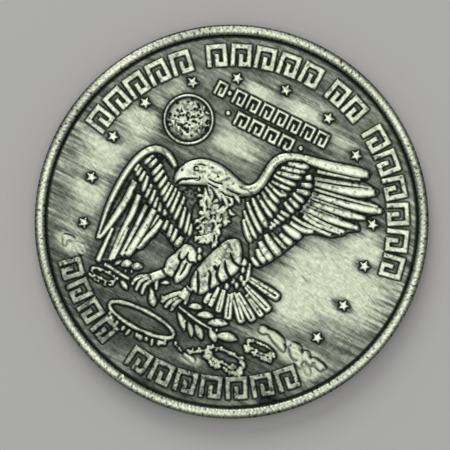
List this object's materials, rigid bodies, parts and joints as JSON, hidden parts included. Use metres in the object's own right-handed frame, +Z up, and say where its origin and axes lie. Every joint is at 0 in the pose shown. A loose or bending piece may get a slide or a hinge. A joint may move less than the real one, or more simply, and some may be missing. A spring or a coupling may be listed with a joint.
{
  "type": "commemorative coin",
  "caption": "Large round struck coin with antiqued silver-grey faces, raised rims, bird relief with stars and fret border, wreath on the back, copper core band and reeded edge.",
  "frame": {"origin": "middle of the underside, on the plane that the coin rests on", "axes": "+Z up through the coin's thickness, from the obverse that it lies on to the reverse; +Y to twelve o'clock of the reverse design; +X to three o'clock"},
  "size_m": [0.0382, 0.038, 0.0026],
  "materials": {
    "cupronickel": "struck cupronickel, darkened all over and wiped bright on the high places",
    "copper": "bare copper seen as a band in the edge, toned brown"
  },
  "bodies": {
    "root": {"reverse_cladding": "cupronickel", "copper_core": "copper", "obverse_cladding": "cupronickel"}
  },
  "joints": []
}
